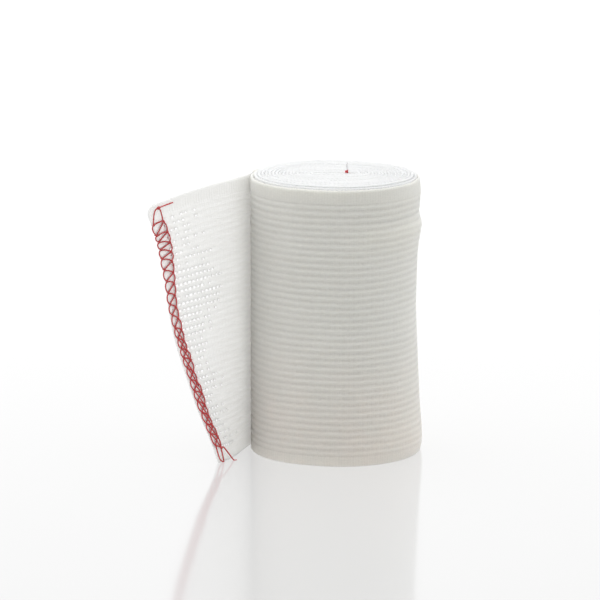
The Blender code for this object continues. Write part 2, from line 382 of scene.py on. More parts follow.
class FreeEnd:
    """The middle sheet of the free end: a path for each row, standing on its lower edge."""

    def __init__(self, line, roll, free_end, width, shares, steps):
        start = line.spots[-1]
        leaving = leaving_bearing(line)
        height = width - roll.narrowing
        fine = 4
        parts = np.linspace(0, 1, steps * fine + 1)
        self.height = height
        self.steps = steps
        self.flat = np.zeros((steps + 1, len(shares), 2))
        self.bearing = np.zeros((steps + 1, len(shares)))
        whole = np.zeros((steps + 1, len(shares), 2))
        self.row_length = np.zeros(len(shares))
        for number, share in enumerate(shares):
            length = free_end.length * read_smoothly(FREE_END_BENDS, share, 1)
            first, second, last = (read_smoothly(FREE_END_BENDS, share, column) for column in (2, 3, 4))
            bearing = np.radians(leaving * (1 - parts) ** 3 + 3 * first * parts * (1 - parts) ** 2
                                 + 3 * second * parts ** 2 * (1 - parts) + last * parts ** 3)
            cut = self.corner_cut(free_end, share, height)
            for target, run in ((whole, length), (self.flat, length - cut)):
                step = run / (steps * fine)
                x = start[0] - np.concatenate([[0.0], np.cumsum(np.sin(bearing[1:]))]) * step
                y = start[1] - np.concatenate([[0.0], np.cumsum(np.cos(bearing[1:]))]) * step
                target[:, number] = np.stack([x, y], axis=-1)[::fine]
            self.bearing[:, number] = bearing[::fine]
            self.row_length[number] = length - cut
        across = np.diff(shares)[None, :] * height
        aside = np.hypot(*np.moveaxis(np.diff(whole, axis=1), 2, 0))
        rise = np.sqrt(np.maximum(0.0, across ** 2 - aside ** 2))
        self.level = np.concatenate([np.zeros((steps + 1, 1)), np.cumsum(rise, axis=1)], axis=1)

    @staticmethod
    def corner_cut(free_end, share, height):
        """How much the rounded corners shorten a row, less what the upper corner's flare adds."""
        from_top = (1 - share) * height
        cut = -free_end.flare * math.exp(-(from_top / free_end.flare_reach) ** 2)
        for radius, to_edge in ((free_end.bottom_corner, share * height), (free_end.top_corner, from_top)):
            if to_edge < radius:
                cut += radius - math.sqrt(radius ** 2 - (radius - to_edge) ** 2)
        return cut


class RibRows:
    """The rows of points across an exposed face, from the lower selvage to the upper one."""

    def __init__(self, knit, width):
        low = knit.bottom_selvage / width
        high = 1 - knit.top_selvage / width
        pitch = (high - low) / knit.ribs
        rows = [(share, 0.0, 0.0, -1.0) for share in np.linspace(0.004, low * 0.86, 6)]
        for rib in range(knit.ribs):
            for place, at_yarn, between in RIB_ROWS:
                rows.append((low + (rib + place) * pitch, at_yarn, between, place))
        rows += [(share, 0.0, 0.0, -1.0) for share in np.linspace(high + (1 - high) * 0.12, 0.996, 8)]
        table = np.array(rows)
        self.shares = table[:, 0]
        self.at_yarn = table[:, 1]
        self.between = table[:, 2]
        self.place = table[:, 3]
        self.pitch = pitch
        self.low = low
        self.high = high
        self.groove = np.zeros(len(rows), dtype=bool)
        self.groove[:-1] = np.isclose(self.place[:-1], RIB_ROWS[-1][0]) & np.isclose(self.place[1:], RIB_ROWS[0][0])

    def relief(self, column_kind):
        """Share of the rib depth for each column and row. Kind 0 is at a crossing yarn, 1 and 2 are between two."""
        return np.where(column_kind[:, None] == 0, self.at_yarn[None, :], self.between[None, :])


def stitch_columns(start, end, stitch):
    """Places of columns from start to end, three to a stitch, with each one's kind."""
    stitches = max(1, round((end - start) / stitch))
    step = (end - start) / stitches
    places = []
    kinds = []
    for index in range(stitches):
        for kind, part in ((0, 0.0), (1, 0.31), (2, 0.69)):
            places.append(start + (index + part) * step)
            kinds.append(kind)
    places.append(end)
    kinds.append(0)
    return np.array(places), np.array(kinds)


def mesh_from(name, points, faces, uvs, material, fields=None):
    """A smooth mesh object from arrays of points, faces, a UV for each point and other values for each point."""
    mesh = bpy.data.meshes.new(name)
    mesh.from_pydata(points.tolist(), [], faces)
    layer = mesh.uv_layers.new(name="strip")
    corner = np.zeros(len(mesh.loops), dtype=np.int32)
    mesh.loops.foreach_get("vertex_index", corner)
    layer.data.foreach_set("uv", uvs[corner].astype(np.float32).ravel())
    for field, values in (fields or {}).items():
        vector = values.ndim == 2
        attribute = mesh.attributes.new(field, "FLOAT_VECTOR" if vector else "FLOAT", "POINT")
        attribute.data.foreach_set("vector" if vector else "value", values.astype(np.float32).ravel())
    mesh.polygons.foreach_set("use_smooth", np.ones(len(mesh.polygons), dtype=bool))
    mesh.materials.append(material)
    mesh.update()
    piece = bpy.data.objects.new(name, mesh)
    bpy.context.scene.collection.objects.link(piece)
    turn_outwards(piece)
    return piece


def turn_outwards(piece):
    """Make a closed piece's faces point outwards."""
    mesh = bmesh.new()
    mesh.from_mesh(piece.data)
    bmesh.ops.recalc_face_normals(mesh, faces=mesh.faces)
    mesh.to_mesh(piece.data)
    mesh.free()


def ring_faces(columns, rows, left_out=()):
    """Quads of a closed ring of rows swept along columns, apart from the cells that are left out."""
    skipped = set(left_out)
    faces = []
    for column in range(columns - 1):
        base = column * rows
        for row in range(rows):
            if (column, row) not in skipped:
                after = (row + 1) % rows
                faces.append((base + row, base + after, base + rows + after, base + rows + row))
    return faces


def end_faces(columns, rows, pairs):
    """Faces that close both ends of a swept ring, from pairs of rows that face each other over the wall."""
    last = (columns - 1) * rows
    faces = []
    for (outer_low, inner_low), (outer_high, inner_high) in zip(pairs, pairs[1:]):
        near = tuple(dict.fromkeys((outer_low, inner_low, inner_high, outer_high)))
        faces.append(near)
        faces.append(tuple(last + index for index in reversed(near)))
    return faces


class NodeTree:
    """A few short words for building node trees."""

    def __init__(self, tree):
        self.tree = tree

    def add(self, kind, values=None, **settings):
        """Add a node. values sets or links its inputs by name or number."""
        node = self.tree.nodes.new(kind)
        for name, value in settings.items():
            setattr(node, name, value)
        for name, value in (values or {}).items():
            if isinstance(value, bpy.types.NodeSocket):
                self.tree.links.new(value, node.inputs[name])
            else:
                node.inputs[name].default_value = value
        return node

    def math(self, operation, *values):
        """A Math node's result."""
        return self.add("ShaderNodeMath", dict(enumerate(values)), operation=operation).outputs[0]

    def vector_math(self, operation, *values):
        """A Vector Math node's result."""
        return self.add("ShaderNodeVectorMath", dict(enumerate(values)), operation=operation).outputs[0]

    def ramp(self, value, low, high, to_low=0.0, to_high=1.0):
        """A value mapped smoothly from one range to another."""
        values = {"Value": value, "From Min": low, "From Max": high, "To Min": to_low, "To Max": to_high}
        return self.add("ShaderNodeMapRange", values, interpolation_type="SMOOTHSTEP").outputs[0]

    def mix_colours(self, share, first, second):
        """Two colours mixed."""
        node = self.add("ShaderNodeMix", data_type="RGBA")
        for name, value in ((0, share), (6, first), (7, second)):
            if isinstance(value, bpy.types.NodeSocket):
                self.tree.links.new(value, node.inputs[name])
            else:
                node.inputs[name].default_value = value
        return node.outputs[2]


def new_group(name, kind, inputs, outputs):
    """A node group with named sockets. inputs and outputs hold a name, a type and a default."""
    group = bpy.data.node_groups.new(name, kind)
    for label, socket, default in inputs:
        item = group.interface.new_socket(label, in_out="INPUT", socket_type=socket)
        if default is not None:
            item.default_value = default
    for label, socket in outputs:
        group.interface.new_socket(label, in_out="OUTPUT", socket_type=socket)
    tree = NodeTree(group)
    return tree, group.nodes.new("NodeGroupInput").outputs, group.nodes.new("NodeGroupOutput").inputs


def knit_group(knit, width):
    """Ribs, crossing yarns, twisted fibres and slight stains of the knit, with painted shade in its grooves and a
    painted warm light low on the roll, read from the strip's own UV map.
    """
    low = knit.bottom_selvage / width
    high = 1 - knit.top_selvage / width
    tree, given, result = new_group("knit_yarns", "ShaderNodeTree", (
        ("Yarn Colour", "NodeSocketColor", tuple(knit.colour)),
        ("Groove Shade And Bar Tone", "NodeSocketFloat", knit.groove_shade_and_bar_tone),
        ("Painted Warm Light", "NodeSocketColor", tuple(knit.painted_warm_light)),
        ("Painted Warm Light Share", "NodeSocketFloat", 0.0),
        ("Lower Ribs", "NodeSocketFloat", low),
        ("Upper Ribs", "NodeSocketFloat", high),
        ("Ribs", "NodeSocketFloat", float(knit.ribs)),
        ("Stitches", "NodeSocketFloat", width / knit.stitch),
        ("Bars", "NodeSocketFloat", width / knit.bar),
    ), (("Color", "NodeSocketColor"), ("Height", "NodeSocketFloat"), ("Roughness", "NodeSocketFloat")))
    place = tree.add("ShaderNodeUVMap", uv_map="strip").outputs[0]
    parts = tree.add("ShaderNodeSeparateXYZ", {0: place}).outputs
    along, across = parts[0], parts[1]
    solid = tree.add("ShaderNodeTexCoord").outputs["Object"]
    over = tree.math("SUBTRACT", across, given["Lower Ribs"])
    span = tree.math("SUBTRACT", given["Upper Ribs"], given["Lower Ribs"])
    rib = tree.math("MULTIPLY", tree.math("DIVIDE", over, span), given["Ribs"])
    from_groove = tree.math("ABSOLUTE", tree.math("SUBTRACT", tree.math("FRACT", tree.math("ADD", rib, 0.5)), 0.5))
    ribbed = tree.math("MULTIPLY", tree.math("GREATER_THAN", rib, 0.0),
                       tree.math("LESS_THAN", rib, given["Ribs"]))
    # Painted shade: the mask of the grooves between ribs, where the colour is darkened as if shade fell there.
    groove = tree.math("MULTIPLY", tree.ramp(from_groove, 0.40, 0.02), ribbed)
    stitch = tree.math("MULTIPLY", along, given["Stitches"])
    half_stitch = tree.math("FRACT", tree.math("MULTIPLY", stitch, 2.0))
    course = tree.math("SINE", tree.math("MULTIPLY", half_stitch, 2 * math.pi))
    twist_place = tree.math("ADD", tree.math("MULTIPLY", stitch, 5.0), tree.math("MULTIPLY", rib, 6.0))
    twist = tree.math("SINE", tree.math("MULTIPLY", twist_place, 2 * math.pi))
    plain = tree.math("SUBTRACT", 1.0, ribbed)
    upright = tree.math("SINE", tree.math("MULTIPLY", tree.math("MULTIPLY", along, given["Bars"]), 2 * math.pi))
    bars = tree.math("MULTIPLY", upright, plain)
    fibre_place = tree.add("ShaderNodeMapping", {"Vector": solid, "Scale": (900.0, 900.0, 2600.0)}).outputs[0]
    fibre = tree.add("ShaderNodeTexNoise", {"Vector": fibre_place, "Scale": 1.0, "Detail": 4.0,
                                            "Roughness": 0.65}).outputs[0]
    patch = tree.add("ShaderNodeTexNoise", {"Vector": solid, "Scale": 90.0, "Detail": 3.0}).outputs[0]
    streak_place = tree.add("ShaderNodeMapping", {"Vector": place, "Scale": (5.0, 260.0, 1.0)}).outputs[0]
    streak = tree.add("ShaderNodeTexNoise", {"Vector": streak_place, "Scale": 1.0, "Detail": 2.0}).outputs[0]
    # Painted shade in the grooves, streaky and dotted along the strip, with the selvages' darker band and upright bars
    # added.
    dark = tree.math("MULTIPLY", groove, tree.ramp(streak, 0.30, 0.62, 0.35, 1.0))
    dotted = tree.math("MULTIPLY", dark, tree.math("ADD", tree.math("MULTIPLY", course, 0.22), 0.78))
    groove_shade_and_bars = tree.math("ADD", dotted, tree.math("MULTIPLY_ADD", bars, 0.12, tree.math("MULTIPLY", plain, 0.12)))
    # Painted light: a patchy warm tint low on the outer turn, standing in for red light from inside the roll.
    low_down = tree.ramp(tree.add("ShaderNodeSeparateXYZ", {0: solid}).outputs[2], 0.055, 0.006)
    warm_light_mask = tree.math("MULTIPLY", tree.math("MULTIPLY", low_down, given["Painted Warm Light Share"]),
                           tree.ramp(patch, 0.25, 0.75, 0.5, 1.0))
    warm_lit_colour = tree.mix_colours(warm_light_mask, given["Yarn Colour"], given["Painted Warm Light"])
    # The painted groove shade and the selvage bars darken the colour; fibres and patches vary its tone at random.
    shade = tree.math("SUBTRACT", 1.0, tree.math("MULTIPLY", groove_shade_and_bars, given["Groove Shade And Bar Tone"]))
    shade = tree.math("MULTIPLY", shade, tree.ramp(fibre, 0.25, 0.75, 0.955, 1.03))
    shade = tree.math("MULTIPLY", shade, tree.ramp(patch, 0.3, 0.7, 0.985, 1.01))
    colour = tree.vector_math("MULTIPLY", warm_lit_colour,
                              tree.add("ShaderNodeCombineXYZ", {0: shade, 1: shade, 2: shade}).outputs[0])
    height = tree.math("ADD", tree.math("MULTIPLY", course, 0.16), tree.math("MULTIPLY", fibre, 0.5))
    height = tree.math("ADD", height, tree.math("MULTIPLY", twist, 0.14))
    height = tree.math("ADD", height, tree.math("MULTIPLY", bars, -0.16))
    links = tree.tree.links
    links.new(colour, result["Color"])
    links.new(height, result["Height"])
    links.new(tree.ramp(fibre, 0.2, 0.8, 0.86, 1.0), result["Roughness"])
    return tree.tree


def knit_material(name, knit, width, colour, tint, glow):
    """Undyed elastic knit, with a share of the painted warm light low on the roll. glow is how far light passes into
    it.
    """
    group = bpy.data.node_groups.get("knit_yarns") or knit_group(knit, width)
    material = bpy.data.materials.new(name)
    material.use_nodes = True
    tree = NodeTree(material.node_tree)
    shader = material.node_tree.nodes["Principled BSDF"]
    yarns = tree.add("ShaderNodeGroup", node_tree=group)
    yarns.inputs["Yarn Colour"].default_value = colour
    yarns.inputs["Painted Warm Light Share"].default_value = tint
    bump = tree.add("ShaderNodeBump", {"Height": yarns.outputs["Height"], "Strength": 0.4, "Distance": 0.00016})
    links = material.node_tree.links
    links.new(yarns.outputs["Color"], shader.inputs["Base Color"])
    links.new(yarns.outputs["Roughness"], shader.inputs["Roughness"])
    links.new(bump.outputs["Normal"], shader.inputs["Normal"])
    shader.inputs["Sheen Weight"].default_value = 0.2
    shader.inputs["Sheen Roughness"].default_value = 0.5
    shader.inputs["Subsurface Weight"].default_value = 1.0
    shader.inputs["Subsurface Radius"].default_value = (1.0, 0.98, 0.94)
    shader.inputs["Subsurface Scale"].default_value = glow
    return material


def thread_material(name, dyed, worn):
    """Twisted thread, paler where its fibres stand out."""
    material = bpy.data.materials.new(name)
    material.use_nodes = True
    tree = NodeTree(material.node_tree)
    shader = material.node_tree.nodes["Principled BSDF"]
    solid = tree.add("ShaderNodeTexCoord").outputs["Object"]
    fibre = tree.add("ShaderNodeTexNoise", {"Vector": solid, "Scale": 3200.0, "Detail": 3.0}).outputs[0]
    colour = tree.mix_colours(tree.ramp(fibre, 0.35, 0.75), tuple(dyed), tuple(worn))
    bump = tree.add("ShaderNodeBump", {"Height": fibre, "Strength": 0.4, "Distance": 0.00006})
    links = material.node_tree.links
    links.new(colour, shader.inputs["Base Color"])
    links.new(bump.outputs["Normal"], shader.inputs["Normal"])
    shader.inputs["Roughness"].default_value = 0.55
    shader.inputs["Sheen Weight"].default_value = 0.3
    return material


def relief_group():
    """Presses the grooves and meshes of the knit into a smooth strip, each by a slightly different depth."""
    tree, given, result = new_group("knit_relief", "GeometryNodeTree", (
        ("Geometry", "NodeSocketGeometry", None),
        ("Rib Depth", "NodeSocketFloat", 0.0003),
        ("Irregularity", "NodeSocketFloat", 0.2),
        ("Seed", "NodeSocketInt", 0),
        ("Material", "NodeSocketMaterial", None),
    ), (("Geometry", "NodeSocketGeometry"),))
    share = tree.add("GeometryNodeInputNamedAttribute", {"Name": "depth_share"}, data_type="FLOAT").outputs[0]
    outward = tree.add("GeometryNodeInputNamedAttribute", {"Name": "outward"}, data_type="FLOAT_VECTOR").outputs[0]
    chance = tree.add("FunctionNodeRandomValue", data_type="FLOAT")
    for name, value in ((2, -1.0), (3, 1.0)):
        chance.inputs[name].default_value = value
    tree.tree.links.new(given["Seed"], chance.inputs["Seed"])
    uneven = tree.math("MULTIPLY_ADD", chance.outputs[1], given["Irregularity"], 1.0)
    depth = tree.math("MULTIPLY", tree.math("MULTIPLY", share, given["Rib Depth"]), uneven)
    offset = tree.add("ShaderNodeVectorMath", {0: outward, "Scale": tree.math("MULTIPLY", depth, -1.0)},
                      operation="SCALE").outputs[0]
    moved = tree.add("GeometryNodeSetPosition", {"Geometry": given["Geometry"], "Offset": offset}).outputs[0]
    solid = tree.add("GeometryNodeRealizeInstances", {"Geometry": moved}).outputs[0]
    done = tree.add("GeometryNodeSetMaterial", {"Geometry": solid, "Material": given["Material"]}).outputs[0]
    tree.tree.links.new(done, result["Geometry"])
    return tree.tree


def thread_group():
    """A twisted thread of several plies along each of its curves."""
    tree, given, result = new_group("twisted_thread", "GeometryNodeTree", (
        ("Geometry", "NodeSocketGeometry", None),
        ("Diameter", "NodeSocketFloat", 0.00044),
        ("Twist Length", "NodeSocketFloat", 0.0011),
        ("Ply Depth", "NodeSocketFloat", 0.16),
        ("Plies", "NodeSocketInt", 3),
        ("Step", "NodeSocketFloat", 0.00022),
        ("Material", "NodeSocketMaterial", None),
    ), (("Geometry", "NodeSocketGeometry"),))
    even = tree.add("GeometryNodeResampleCurve", {"Curve": given["Geometry"], "Length": given["Step"]}, mode="LENGTH")
    reach = tree.add("GeometryNodeSplineParameter").outputs["Length"]
    turns = tree.math("DIVIDE", reach, given["Twist Length"])
    tilted = tree.add("GeometryNodeSetCurveTilt", {"Curve": even.outputs[0],
                                                   "Tilt": tree.math("MULTIPLY", turns, 2 * math.pi)}).outputs[0]
    circle = tree.add("GeometryNodeCurvePrimitiveCircle", {"Resolution": 9}, mode="RADIUS")
    tree.tree.links.new(tree.math("MULTIPLY", given["Diameter"], 0.5), circle.inputs["Radius"])
    spot = tree.add("GeometryNodeInputPosition").outputs[0]
    sides = tree.add("ShaderNodeSeparateXYZ", {0: spot}).outputs
    angle = tree.math("ARCTAN2", sides[1], sides[0])
    lobes = tree.math("COSINE", tree.math("MULTIPLY", angle, given["Plies"]))
    swell = tree.math("MULTIPLY_ADD", lobes, given["Ply Depth"], 1.0)
    shaped = tree.add("ShaderNodeVectorMath", {0: spot, "Scale": swell}, operation="SCALE").outputs[0]
    profile = tree.add("GeometryNodeSetPosition", {"Geometry": circle.outputs[0], "Position": shaped}).outputs[0]
    tube = tree.add("GeometryNodeCurveToMesh", {"Curve": tilted, "Profile Curve": profile, "Fill Caps": True})
    smooth = tree.add("GeometryNodeSetShadeSmooth", {"Geometry": tube.outputs[0]}).outputs[0]
    solid = tree.add("GeometryNodeRealizeInstances", {"Geometry": smooth}).outputs[0]
    done = tree.add("GeometryNodeSetMaterial", {"Geometry": solid, "Material": given["Material"]}).outputs[0]
    tree.tree.links.new(done, result["Geometry"])
    return tree.tree


def run_nodes(piece, group, values):
    """Run a Geometry Nodes group on an object and keep the result as the object's plain mesh."""
    modifier = piece.modifiers.new(group.name, "NODES")
    modifier.node_group = group
    sockets = {item.name: item.identifier for item in group.interface.items_tree if item.in_out == "INPUT"}
    for name, value in values.items():
        modifier[sockets[name]] = value
    evaluated = piece.evaluated_get(bpy.context.evaluated_depsgraph_get())
    mesh = bpy.data.meshes.new_from_object(evaluated)
    name = piece.name
    material = values["Material"]
    bpy.data.objects.remove(piece)
    mesh.name = name
    mesh.materials.clear()
    mesh.materials.append(material)
    result = bpy.data.objects.new(name, mesh)
    bpy.context.scene.collection.objects.link(result)
    return result


def thread_piece(name, paths, diameter, material, twist=0.0011):
    """A piece of twisted thread along each path of points."""
    data = bpy.data.curves.new(name, "CURVE")
    data.dimensions = "3D"
    for path in paths:
        spline = data.splines.new("POLY")
        spline.points.add(len(path) - 1)
        spline.points.foreach_set("co", np.concatenate([path, np.ones((len(path), 1))], axis=1).ravel())
    holder = bpy.data.objects.new(name, data)
    bpy.context.scene.collection.objects.link(holder)
    group = bpy.data.node_groups.get("twisted_thread") or thread_group()
    values = {"Diameter": diameter, "Twist Length": twist, "Step": diameter * 0.55, "Material": material}
    piece = run_nodes(holder, group, values)
    turn_outwards(piece)
    return piece


def curve_through(points, per_span=8):
    """A smooth path through points, as a Catmull-Rom curve."""
    points = np.array(points, dtype=float)
    padded = np.concatenate([points[:1] * 2 - points[1:2], points, points[-1:] * 2 - points[-2:-1]])
    parts = np.linspace(0, 1, per_span, endpoint=False)[:, None]
    spans = []
    for index in range(len(points) - 1):
        before, low, high, after = padded[index:index + 4]
        spans.append(0.5 * (2 * low + (high - before) * parts + (2 * before - 5 * low + 4 * high - after) * parts ** 2
                            + (3 * low - before - 3 * high + after) * parts ** 3))
    return np.concatenate(spans + [points[-1:]])


class Settings:
    """The sizes that every piece shares."""

    def __init__(self, scene):
        self.roll = scene.bandage_roll
        self.knit = scene.bandage_knit
        self.free_end = scene.bandage_free_end
        self.seam = scene.bandage_seam
        self.width = STRIP_BOX[1].z
        self.line = WoundLine(self.roll)
        self.exposed_from = self.line.reach[np.argmax(self.line.spots[:, 4] <= EXPOSED_TURNS)]
        self.rib_rows = RibRows(self.knit, self.width)
        self.half = self.roll.thickness / 2
        self.net_half = self.half * (1 - self.free_end.thinning)


class BANDAGE_OT_inner_turns(bpy.types.Operator):
    """Make the covered turns, whose edges show as the spiral on the roll's top"""
    bl_idname = "bandage.inner_turns"
    bl_label = "Inner turns"

    def execute(self, context):
        made = Settings(context.scene)
        knit, width, line = made.knit, made.width, made.line
        places, kinds = stitch_columns(0.0, made.exposed_from, knit.stitch)
        places, kinds = places[kinds != 2], kinds[kinds != 2]
        section = np.array(COVERED_SECTION)
        shares = np.broadcast_to(section[:, 0], (len(places), len(section)))
        bearing = line.at(places)[2][:, None]
        half = (line.pitch - line.straight_step * np.abs(np.cos(bearing)) - knit.turn_gap) / 2
        chance = np.random.RandomState(knit.seed)
        loop = np.where(kinds == 0, 0.0, 1.0)[:, None] * chance.uniform(0.5, 1.0, (len(places), 1))
        rim = shares > 0.98
        offsets = section[:, 1] * half * (1 - 0.07 * rim * (1 - loop))
        points = wound_surface(line, made.roll, width, places, shares, offsets, 0.0)
        lift = ripple(places[:, None] * 55, shares * 0, knit.seed + 3) * knit.rim_lift
        points[..., 2] += np.where(shares > 0.9, lift - knit.rim_loop * (1 - loop), 0.0)
        columns, rows = shares.shape
        faces = ring_faces(columns, rows)
        faces += end_faces(columns, rows, [(index, rows - 1 - index) for index in range(rows // 2 + 1)])
        uvs = np.stack([np.broadcast_to(places[:, None], shares.shape) / width, shares], axis=-1).reshape(-1, 2)
        # The less warm colour paints the light that washes out the roll's top.
        material = knit_material("covered_knit", knit, width, knit.overlit_covered_colour, 0.0, knit.roll_glow)
        piece = mesh_from("inner_turns", points.reshape(-1, 3), faces, uvs, material)
        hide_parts("wound_turns")
        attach(piece, BODY)
        return {"FINISHED"}


class BANDAGE_OT_outer_turn(bpy.types.Operator):
    """Make the exposed turn with its ribs and stitches"""
    bl_idname = "bandage.outer_turn"
    bl_label = "Outer turn"

    def execute(self, context):
        made = Settings(context.scene)
        knit, width, line, rib_rows, half = made.knit, made.width, made.line, made.rib_rows, made.half
        places, kinds = stitch_columns(made.exposed_from, line.length, knit.stitch)
        columns = len(places)
        count = len(rib_rows.shares)
        outer = np.broadcast_to(rib_rows.shares, (columns, count))
        wander = knit.wander / width * ripple(places[:, None] * 90, outer * 14, knit.seed)
        wander *= np.clip(np.minimum(outer - rib_rows.low, rib_rows.high - outer) * 20, 0, 1)
        rest = np.broadcast_to(np.array(PLAIN_INSIDE), (columns, len(PLAIN_INSIDE), 2))
        shares = np.concatenate([outer + wander, rest[..., 0]], axis=1)
        offsets = np.concatenate([np.full(outer.shape, half), rest[..., 1] * half], axis=1)
        blend = np.ones(shares.shape)
        blend[:, count + 1:-1] = 0.0
        points = wound_surface(line, made.roll, width, places, shares, offsets, blend)
        rows = shares.shape[1]
        rim = np.where(kinds == 0, 1.0, 0.0)[:, None] * (np.abs(shares - 1) < 0.006)
        points[..., 2] -= rim * knit.rim_loop
        faces = ring_faces(columns, rows)
        faces.append(tuple(range(rows)))
        faces.append(tuple(reversed(range((columns - 1) * rows, columns * rows))))
        flat = np.concatenate([outer, shares[:, count:]], axis=1)
        uvs = np.stack([np.broadcast_to(places[:, None], shares.shape) / width, flat], axis=-1).reshape(-1, 2)
        bearing = line.at(places)[2][:, None]
        outward = np.stack(np.broadcast_arrays(np.cos(bearing), np.sin(bearing), shares * 0), axis=-1)
        depth_share = np.zeros(shares.shape)
        depth_share[:, :count] = rib_rows.relief(kinds)
        fields = {"outward": outward.reshape(-1, 3), "depth_share": depth_share.ravel()}
        # The outer turn takes the full painted warm light.
        material = knit_material("ribbed_knit", knit, width, knit.colour, 1.0, knit.roll_glow)
        smooth = mesh_from("outer_turn", points.reshape(-1, 3), faces, uvs, material, fields)
        group = bpy.data.node_groups.get("knit_relief") or relief_group()
        piece = run_nodes(smooth, group, {"Rib Depth": knit.rib_depth, "Irregularity": knit.irregularity,
                                          "Seed": knit.seed, "Material": material})
        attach(piece, BODY)
        return {"FINISHED"}


class FreeEndSheet:
    """The free end as a fine sheet that can be read at any place along it and any height."""

    def __init__(self, made, steps=240):
        self.rows = made.rib_rows.shares
        self.steps = steps
        self.sheet = FreeEnd(made.line, made.roll, made.free_end, made.width, self.rows, steps)

    def read(self, places):
        """Flat place, bearing and level of every row at places from 0, at the roll, to 1, at the edge."""
        index = places * self.steps
        low = np.clip(index.astype(int), 0, self.steps - 1)
        part = (index - low)[:, None]
        return tuple(grid[low] * (1 - (part[..., None] if grid.ndim == 3 else part))
                     + grid[low + 1] * (part[..., None] if grid.ndim == 3 else part)
                     for grid in (self.sheet.flat, self.sheet.bearing, self.sheet.level))

    def spot(self, from_edge, share, offset):
        """A point at a distance from the free edge, at a height, and at an offset towards the camera's side."""
        length = np.interp(share, self.rows, self.sheet.row_length)
        place = np.array([min(1.0, 1.0 - from_edge / length)])
        flat, bearing, level = self.read(place)
        x, y = (np.interp(share, self.rows, flat[0, :, axis]) for axis in (0, 1))
        turn = np.interp(share, self.rows, bearing[0])
        z = np.interp(share, self.rows, level[0])
        beyond = max(0.0, -from_edge)
        return np.array((x + math.cos(turn) * offset - math.sin(turn) * beyond,
                         y - math.sin(turn) * offset - math.cos(turn) * beyond, z))


class BANDAGE_OT_free_end(bpy.types.Operator):
    """Make the free end, a net of ribs and crossing yarns with open meshes near its seam"""
    bl_idname = "bandage.free_end"
    bl_label = "Free end"

    def execute(self, context):
        made = Settings(context.scene)
        knit, width, line, rib_rows, free_end = made.knit, made.width, made.line, made.rib_rows, made.free_end
        places, kinds = stitch_columns(0.0, 1.0, knit.stitch / free_end.length)
        half = (made.half + (made.net_half - made.half) * np.clip(places / 0.3, 0, 1))[:, None, None]
        columns = len(places)
        count = len(rib_rows.shares)
        rows = count * 2 + 2
        chance = np.random.RandomState(knit.seed + 1)
        flat, bearing, level = FreeEndSheet(made).read(places)
        normal = np.stack([-np.cos(bearing), np.sin(bearing), bearing * 0], axis=-1)
        middle = np.concatenate([flat, level[..., None]], axis=-1)
        points = np.zeros((columns, rows, 3))
        points[:, :count] = middle + normal * half
        points[:, count + 1:rows - 1] = (middle - normal * half)[:, ::-1]
        rim = np.where(kinds == 0, 0.0, knit.rim_loop)[:, None] * np.array((0, 0, 1.0))
        points[:, count] = middle[:, -1] + (0, 0, 0.0002) + rim
        points[:, rows - 1] = middle[:, 0]
        points[:, rows - 1, 2] = 0.0
        outward = np.zeros(points.shape)
        outward[:, :count] = normal
        outward[:, count + 1:rows - 1] = -normal[:, ::-1]
        depth_share = np.zeros((columns, rows))
        depth_share[:, :count] = rib_rows.relief(kinds)
        depth_share[:, count + 1:rows - 1] = depth_share[:, :count][:, ::-1]
        openness = self.openness(made, places, kinds, chance)
        windows = list(zip(*np.nonzero(openness > 0)))
        for column, row in windows:
            spread = openness[column, row] * knit.mesh_spread / 2
            for near, aside in ((column, -1), (column + 1, 1)):
                run = (middle[column + 1, row] - middle[column, row]) * aside
                run *= openness[column, row] * knit.mesh_stretch / np.linalg.norm(run)
                for spot, way in ((row, -1), (row + 1, 1), (rows - 2 - row, -1), (rows - 3 - row, 1)):
                    points[near, spot] += run
                    points[near, spot, 2] += way * spread
        left_out = [(column, row) for column, row in windows]
        left_out += [(column, rows - 3 - row) for column, row in windows]
        faces = ring_faces(columns, rows, left_out)
        for column, row in windows:
            faces += self.window_walls(column * rows, rows, row)
        pairs = [(rows - 1, rows - 1)] + [(row, rows - 2 - row) for row in range(count)] + [(count, count)]
        faces += end_faces(columns, rows, pairs)
        run = line.length + places[:, None] * free_end.length
        shares = np.concatenate([rib_rows.shares, [1.0], rib_rows.shares[::-1], [0.0]])
        uvs = np.stack(np.broadcast_arrays(run / width, shares[None, :]), axis=-1).reshape(-1, 2)
        fields = {"outward": outward.reshape(-1, 3), "depth_share": depth_share.ravel()}
        # The free end's darker colour is painted shade that dims the light passing through it.
        material = knit_material("open_knit", knit, width, knit.shaded_open_colour, 0.0, knit.open_glow)
        smooth = mesh_from("free_end_net", points.reshape(-1, 3), faces, uvs, material, fields)
        group = bpy.data.node_groups.get("knit_relief") or relief_group()
        piece = run_nodes(smooth, group, {"Rib Depth": knit.rib_depth * free_end.rib_share, "Seed": knit.seed + 1,
                                          "Irregularity": knit.irregularity, "Material": material})
        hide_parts("free_end")
        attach(piece, BODY)
        return {"FINISHED"}

    @staticmethod
    def openness(made, places, kinds, chance):
        """How open each mesh of the net is: most beside the seam, and shut towards the roll."""
        shares = made.rib_rows.shares
        beside = np.clip((places[:, None] - 0.36) / 0.42, 0, 1) * made.free_end.openness
        beside = beside * np.clip(1.2 - np.abs(shares[None, :] - 0.62) * 1.2, 0, 1)
        patchy = beside + 0.5 * ripple(places[:, None] * 7, shares[None, :] * 13, 5) - 0.12
        value = np.clip(patchy, 0, 1) * chance.uniform(0.3, 1.3, patchy.shape)
        mesh = (kinds[:, None] == 1) & made.rib_rows.groove[None, :] & (value > 0.34) & (places[:, None] < 0.93)
        return np.where(mesh, value, 0.0)

    @staticmethod
    def window_walls(base, rows, row):
        """The four small walls round an open mesh, from the outer face to the inner one."""
        mirror = rows - 2 - row
        beyond = base + rows
        outer = (base + row, base + row + 1, beyond + row + 1, beyond + row)
        inner = (base + mirror, base + mirror - 1, beyond + mirror - 1, beyond + mirror)
        return [(outer[(step + 1) % 4], outer[step], inner[step], inner[(step + 1) % 4]) for step in range(4)]


